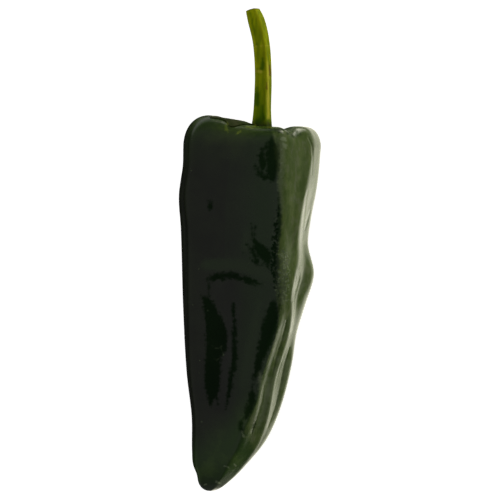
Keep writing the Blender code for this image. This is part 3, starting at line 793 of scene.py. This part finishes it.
def make_skin_material():
    material = bpy.data.materials.new("waxy_dark_green_skin")
    finish = Finish(material)
    place = finish.place()
    lengthwise = finish.stretched(place, (1, 0.25, 1))
    clouds = finish.noise(place, 75, 5, 0.6)
    streaks = finish.noise(lengthwise, 420, 2)
    grain = finish.noise(place, 1100, 2)
    fray = finish.noise(finish.stretched(place, (1, 1.5, 1)), 520, 4, 0.65)
    olive_and_painted_light = finish.mark("olive_and_painted_light")
    crown_share = finish.mark("crown").between(0, 1.2)
    tip = finish.mark("tip")

    # The dark side, in soft clouds, and where it is greener.
    dark = finish.mix(clouds.between(0.38, 0.62), (0.006, 0.009, 0.003), (0.010, 0.015, 0.005))
    dark = finish.mix(finish.mark("greener") * 0.85, dark, (0.012, 0.034, 0.006))
    haze = (finish.mark("hazed") + (clouds - 0.5) * 4).between(-1.4, 1.4)
    dark = finish.mix(haze * 0.85, dark, (0.016, 0.034, 0.008))
    # Lighter green on the crown: partly its own colour, partly painted light where the lamps don't reach.
    crown_green_and_painted_light = finish.mix(clouds.between(0.4, 0.6), (0.024, 0.050, 0.008), (0.046, 0.080, 0.012))
    dark = finish.mix(crown_share, dark, crown_green_and_painted_light)
    on_tip = finish.mix(clouds.between(0.42, 0.58), (0.024, 0.062, 0.007), (0.046, 0.096, 0.012))
    dark = finish.mix(tip * 0.85, dark, on_tip)

    # The olive side, streaked lengthwise, with darker and paler blotches, painted lighter and warmer
    # as the light from the right.
    light = finish.mix(streaks.between(0.35, 0.7), (0.066, 0.104, 0.024), (0.088, 0.130, 0.031))
    blotches = finish.noise(finish.stretched(place, (1, 0.6, 1)), 330, 3, 0.6)
    light = finish.mix(blotches.between(0.50, 0.62) * 0.55, light, (0.042, 0.078, 0.012))
    light = finish.mix((1 - blotches.between(0.38, 0.48)) * 0.45, light, (0.120, 0.145, 0.070))
    border = (olive_and_painted_light + (fray - 0.5) * olive_and_painted_light * (1 - olive_and_painted_light) * 4).between(0.2, 0.8)
    colour = finish.mix(border, dark, light)

    # What marks both sides.
    colour = finish.mix(finish.mark("dried") * 0.6, colour, (0.010, 0.020, 0.007))
    # Painted highlights on the corner, the rim and the ridges, frayed by noise.
    painted_highlight = (finish.mark("painted_highlight") + (fray - 0.5) * 3).between(-0.9, 0.9)
    colour = finish.mix(painted_highlight * 0.6, colour, (0.145, 0.185, 0.095))
    bubbles = finish.noise(place, 900, 2)
    blister = (finish.mark("blistered") * 0.6 + (bubbles - 0.5) * 6).between(0, 0.6)
    blister = blister * finish.mark("blistered").between(-1.2, 0.6) * (1 - olive_and_painted_light * 0.5)
    colour = finish.mix(blister * 0.85, colour, (0.006, 0.018, 0.005))
    # Painted glints: pale specks in the blisters, more on the olive side, stand in for the highlight that
    # the rough skin breaks up.
    painted_glints = (finish.noise(place, 1000, 2) - 0.54).between(0, 0.10)
    painted_glints = painted_glints * finish.mark("blistered").between(-0.8, 0.6) * (0.15 + 0.85 * olive_and_painted_light)
    colour = finish.mix(painted_glints * 0.8, colour, (0.18, 0.23, 0.12))
    specks = finish.dots(place, 330)
    speck_mask = (1 - specks.between(0.05, 0.12)) * finish.noise(place, 90, 1).between(0.55, 0.65)
    colour = finish.mix(speck_mask * 0.6, colour, (0.09, 0.12, 0.05))
    # Pale specks, with painted glints among them on the crown's corner.
    pale_speck_and_glint = (finish.mark("pale_specks_and_glints") + (fray - 0.5) * 1.6).between(-0.3, 0.4)
    colour = finish.mix(pale_speck_and_glint * 0.75, colour, (0.20, 0.25, 0.14))
    yellow = (finish.mark("yellowed") + (fray - 0.5) * 2.5).between(-0.4, 0.5)
    colour = finish.mix(yellow * 0.55, colour, (0.18, 0.24, 0.02))

    # The height for the bump, in shares of its size, and the gloss.
    waves = finish.noise(place, 90, 2)
    ripple = finish.noise(place, 330, 2)
    crease = finish.mark("creased").between(-0.4, 0.5)
    height = waves * 0.55 + ripple * 0.12
    height = height + grain * (0.012 + blister * 0.12) + streaks * (0.03 + olive_and_painted_light * 0.06)
    height = height - crease * 0.35 + blotches * olive_and_painted_light * 0.12
    normal = finish.bump(height, 0.5 * MM)
    roughness = 0.17 + finish.noise(place, 130, 4).between(0.4, 0.75) * 0.09 + blister * 0.25
    roughness = roughness + finish.mark("dulled").between(-0.8, 0.6) * 0.13

    # Two finishes: under the wax the skin mirrors its surroundings, and where it is rubbed it doesn't.
    # The rubbed finish is deeper green, and along one fold it is painted shade.
    streaky = finish.noise(finish.stretched(place, (1, 0.2, 1)), 700, 3, 0.6)
    frayed = (finish.mark("rubbed_and_fold_shade") + (fray - 0.5) * 3.6 + (streaky - 0.5) * 2.0).between(-0.6, 0.9)
    bare = (frayed * 0.96).math("MAXIMUM", blister * (1 - olive_and_painted_light) * 1.4)
    waxed = finish.make("ShaderNodeBsdfPrincipled", None, {
        "Base Color": colour, "Roughness": roughness, "Normal": normal, "IOR": 1.5,
    })
    deep_green = finish.mix(0.75, colour, (0.004, 0.016, 0.004))
    rubbed_and_fold_shade = finish.make("ShaderNodeBsdfPrincipled", None, {
        "Base Color": deep_green, "Roughness": 0.4, "Normal": normal, "Specular IOR Level": 0.05,
    })
    skin_shader = finish.make("ShaderNodeMixShader", None, {0: bare, 1: waxed, 2: rubbed_and_fold_shade})
    finish.make("ShaderNodeOutputMaterial", None, {"Surface": skin_shader})
    return material


pod.data.materials.append(make_skin_material())
print(f"the skin's finish has {len(pod.data.materials[0].node_tree.nodes)} nodes")

# %% [markdown]
# ## The stem's finish
# The stem is olive green and matt, with lighter ribs, fine lengthwise streaks and a few brown scars.
# It is painted darker where it meets the calyx, as the calyx's shade, and the cut end is dry, with
# faint rings. Streaks could be painted, or come from a wave, but noise that is stretched along Y gives
# uneven ones, as fibres are.

# %% Stem material


def from_cut_middle(finish, place):
    """Distance in metres from the middle of the cut end."""
    middle = tuple(float(v) for v in stem_end)
    return finish.make("ShaderNodeVectorMath", {"operation": "DISTANCE"}, {0: place, 1: middle}, 1)


def make_stem_material():
    material = bpy.data.materials.new("olive_ribbed_stem")
    finish = Finish(material)
    place = finish.place()
    lengthwise = finish.stretched(place, (1, 0.08, 1))
    streaks = finish.noise(lengthwise, 900, 4, 0.6)
    clouds = finish.noise(place, 160, 3)
    scars = finish.noise(finish.stretched(place, (1, 0.6, 1)), 260, 3)
    rib = finish.mark("round_stem")
    up_stem = finish.mark("up_stem")

    # The green of the ribs and furrows, with painted shade towards the calyx.
    green = finish.mix(streaks.between(0.35, 0.65), (0.19, 0.245, 0.0008), (0.33, 0.38, 0.0012))
    green = finish.mix(rib.between(-0.2, 1) * 0.3, green, (0.40, 0.40, 0.01))
    # Painted shade: darker green at the foot of the stem, next to the calyx.
    green = finish.mix((1 - up_stem.between(0.02, 0.45)) * 0.65, green, (0.06, 0.15, 0.0005))
    green = finish.mix(clouds.between(0.48, 0.66) * 0.5, green, (0.15, 0.20, 0.001))

    # Deep green patches, yellow streaks and brown scars.
    deep = (finish.mark("deepened") + (clouds - 0.5) * 3).between(-0.6, 0.8)
    green = finish.mix(deep * 0.8, green, (0.035, 0.10, 0.0005))
    yellow = (finish.mark("yellowed") + (streaks - 0.5) * 2 + (clouds - 0.5) * 1.5).between(-0.4, 0.5)
    green = finish.mix(yellow * 0.7, green, (0.48, 0.44, 0.035))
    scar = (finish.mark("scarred") + (scars - 0.5) * 1.5).between(-0.2, 0.3)
    green = finish.mix(scar * 0.7, green, (0.12, 0.055, 0.010))

    # The calyx is darker, and the cut end is dry.
    low = finish.mix(clouds.between(0.40, 0.6), (0.014, 0.022, 0.008), (0.034, 0.036, 0.018))
    low = finish.mix(yellow * 0.8, low, (0.16, 0.20, 0.015))
    colour = finish.mix(finish.mark("on_calyx").between(0, 1) * 0.9, green, low)
    rings = (from_cut_middle(finish, place) * 2600).math("SINE").between(-1, 1)
    dry = finish.mix(rings * 0.5, (0.20, 0.17, 0.07), (0.10, 0.08, 0.03))
    colour = finish.mix(finish.mark("on_cut"), colour, dry)

    roughness = 0.5 + streaks * 0.2 + finish.mark("on_cut") * 0.3
    height = streaks * 0.5 + clouds * 0.3
    shader = finish.make("ShaderNodeBsdfPrincipled", None, {
        "Base Color": colour, "Roughness": roughness, "Normal": finish.bump(height, 0.25 * MM),
        "Specular IOR Level": 0.05,
    })
    finish.make("ShaderNodeOutputMaterial", None, {"Surface": shader})
    return material


stem_skin.data.materials.append(make_stem_material())
print(f"the stem's finish has {len(stem_skin.data.materials[0].node_tree.nodes)} nodes")

# %% [markdown]
# ## Standing in for the imported solids
# Each fine skin takes the place of its solid and rides on the same body, so the physics keeps the
# coarse solids.

# %% Hand the skins to the frame
for thing, node in ((pod, "pod"), (stem_skin, "stem_and_calyx")):
    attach(thing, "root")
    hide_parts(node)
    print(f"{thing.name} stands in for {node}")

# %% [markdown]
# ## Table and light
# The pepper is shown on a pale, seamless table. Its dark wax shows nothing but reflections, so the
# light is designed as what the wax mirrors: a dim grey sheet overhead and to the left, which ends where
# the upper face turns into the right side, the glow of the table low on the right, which draws the
# ridges and the rim, a small window beyond the stem, which lights the edge of the crown, and a faint
# light far left beyond both ends. Lamps alone could do it, but a sky that depends only on direction has
# no hot spots and the same edges from every side. The table itself would mirror as a white rim all
# round, so only the camera sees it. Three soft lamps light the green under the wax.

# %% The table: a flat disc that curves up far away
TABLE_FLAT = 2.2
TABLE_RISE = 2.6  # radius of the curve that takes it up to a wall
TABLE_WALL = 6.5  # height of the wall
TABLE_AROUND = 96
FLAT_RINGS = 12
CURVED_RINGS = 24


def table_rings():
    """Rings of a bowl: flat out to its flat radius, then a quarter circle up to a wall."""
    turn = np.linspace(0, pi / 2, CURVED_RINGS)[1:]
    flat = np.linspace(0.3, TABLE_FLAT, FLAT_RINGS)
    out = np.concatenate([flat, TABLE_FLAT + TABLE_RISE * np.sin(turn), [TABLE_FLAT + TABLE_RISE]])
    up = np.concatenate([0 * flat, TABLE_RISE * (1 - np.cos(turn)), [TABLE_WALL]])
    out, up, around = out[:, None], up[:, None], np.radians(angles(TABLE_AROUND))
    return np.stack([out * np.cos(around), out * np.sin(around), up + 0 * around], axis=-1)


def open_skin(name, centre, rings):
    """A surface from a centre point out through rings, with its faces looking up."""
    count, around = rings.shape[:2]
    points = np.vstack([np.reshape(centre, (1, 3)), rings.reshape(-1, 3)])
    number = 1 + np.arange(count * around).reshape(count, around)
    following = np.roll(number, -1, axis=1)
    fan = np.stack([0 * number[0], number[0], following[0]], axis=-1)
    quads = np.stack([number[:-1], number[1:], following[1:], following[:-1]], axis=-1).reshape(-1, 4)
    mesh = bpy.data.meshes.new(name)
    mesh.from_pydata(points.tolist(), [], fan.tolist() + quads.tolist())
    mesh.shade_smooth()
    thing = bpy.data.objects.new(name, mesh)
    bpy.context.scene.collection.objects.link(thing)
    return thing


table = open_skin("table", (0, 0, 0), table_rings())
pale = bpy.data.materials.new("pale_table")
pale_finish = Finish(pale)
pale_shader = pale_finish.make("ShaderNodeBsdfPrincipled", None, {
    "Base Color": (0.9, 0.9, 0.9, 1), "Roughness": 0.9, "Specular IOR Level": 0.0,
    "Emission Color": (1, 1, 1, 1), "Emission Strength": 0.90,
})
pale_finish.make("ShaderNodeOutputMaterial", None, {"Surface": pale_shader})
table.data.materials.append(pale)
table.visible_glossy = False
table.visible_diffuse = False
table.visible_shadow = False
print(f"the table is {2 * TABLE_FLAT} m wide before it curves up")

# %% [markdown]
# ## The sky that the wax mirrors
# A picture of a studio could be the sky. Sums of smooth rises over two measures of the direction, how
# far across and how far along the pepper it points, are easier to shift until the edges of the
# reflections fall where they should.

# %% Sky
world = bpy.data.worlds.new("studio")
bpy.context.scene.world = world
sky = Finish(world)
direction = sky.make("ShaderNodeTexCoord", out=0)
sideways, to_stem, upward = (sky.make("ShaderNodeSeparateXYZ", None, {0: direction}, i) for i in range(3))
across = sideways.math("ARCTAN2", upward) * (180 / pi)  # 0 overhead, 90 to the right, -90 to the left
to_tip = -1 * to_stem  # both run from -1 to 1

# The grey sheet is dimmer towards both ends, and right of it the sky is nearly dark.
sheet = across.between(-150, -60) * (1 - across.between(13, 18))
sheet = sheet * (0.21 + across.between(-25, 14) * 0.09)
sheet = sheet * (1 - to_stem.between(0.6, 0.95) * 0.75) * (1 - to_tip.between(0.6, 0.9) * 0.4)
side = across.between(14, 20)
side = side * (0.08 + to_tip.between(0.48, 0.54) * (1 - to_tip.between(0.56, 0.62)) * 0.3)

# The glow starts lower towards the tip, and fades towards both ends.
glow_from = to_tip.between(0.42, 0.53) * 20 + 98
glow = across.between(glow_from, glow_from + 27)
glow = glow * (1.35 + across.between(110, 128) * to_tip.between(0, 0.12) * 0.6)
glow = glow * (1 - to_tip.between(0.50, 0.61) * 0.94) * (1 - to_stem.between(0.36, 0.55) * 0.85)

# The window beyond the stem, and the faint light far left beyond both ends.
window = across.between(88, 100) * (1 - across.between(125, 145)) * to_stem.between(0.70, 0.84)
window = window * (1 - to_stem.between(0.95, 1) * 0.7) * 7.0
left = (1 - across.between(-110, -70)) * (to_stem.between(0.3, 0.6) * 0.4 + to_tip.between(0.3, 0.6) * 0.15)

brightness = sheet + side + glow + window + left + 0.01
tint = sky.mix(across.between(80, 110), (1, 1, 1), (1, 0.97, 0.80))  # the table's glow is warmer
background = sky.make("ShaderNodeBackground", None, {"Color": tint, "Strength": brightness})
sky.make("ShaderNodeOutputWorld", None, {"Surface": background})
print(f"the sky has {len(world.node_tree.nodes)} nodes")

# %% [markdown]
# ## Soft lamps
# The sky is too dim to light the green itself, and a brighter one would whiten the wax. So three suns
# as wide as a soft box light the green, and the wax doesn't mirror them. Area lamps would do too, but
# a sun is equally strong all over the pepper.

# %% Lamps
LAMPS = {  # strength, colour, and the turns about X and Y in degrees that aim it
    "low_right": (1.5, (1.0, 0.95, 0.86), (0, 96)),  # under the horizon, as if thrown back by the table
    "beyond_the_stem": (0.4, (1.0, 1.0, 0.95), (-65, 0)),
    "low_left": (0.7, (1.0, 1.0, 1.0), (-25, -80)),
}
LAMP_WIDTH = 30  # degrees of the sky, for soft shadows

for name, (strength, colour, (about_x, about_y)) in LAMPS.items():
    lamp = bpy.data.lights.new(name, "SUN")
    lamp.energy = strength
    lamp.color = colour
    lamp.angle = radians(LAMP_WIDTH)
    lamp_object = bpy.data.objects.new(name, lamp)
    lamp_object.rotation_euler = (radians(about_x), radians(about_y), 0)
    lamp_object.visible_glossy = False
    bpy.context.scene.collection.objects.link(lamp_object)
print(f"{len(LAMPS)} lamps")

# %% [markdown]
# ## The camera
# It looks straight down, as the photograph looks straight at the pepper's face. A parallel view would
# also keep the outlines true, but a long lens from far away does so and stays a real camera. The
# photograph's frame is 500 pixels square and the pepper fills it from 8 to 492, which gives the width
# that the lens has to take in.

# %% Camera
CAMERA_HEIGHT = 2.0
PEPPER_LENGTH = cad_box[1].y - cad_box[0].y
PEPPER_IN_FRAME = 484 / 500
EDGE_HEIGHT = 21 * MM  # the widest points of the pepper are this high, so the scale is set there

camera = bpy.data.cameras.new("camera")
camera_object = bpy.data.objects.new("camera", camera)
bpy.context.scene.collection.objects.link(camera_object)
camera_object.location = (0, 0, CAMERA_HEIGHT + EDGE_HEIGHT)
field = PEPPER_LENGTH / PEPPER_IN_FRAME
camera.lens = camera.sensor_width * CAMERA_HEIGHT / field
camera.clip_start = 0.1
camera.clip_end = 30
bpy.context.scene.camera = camera_object
bpy.context.scene.view_settings.view_transform = "Standard"
print(f"lens {camera.lens:.0f} mm, field {field:.4f} m")
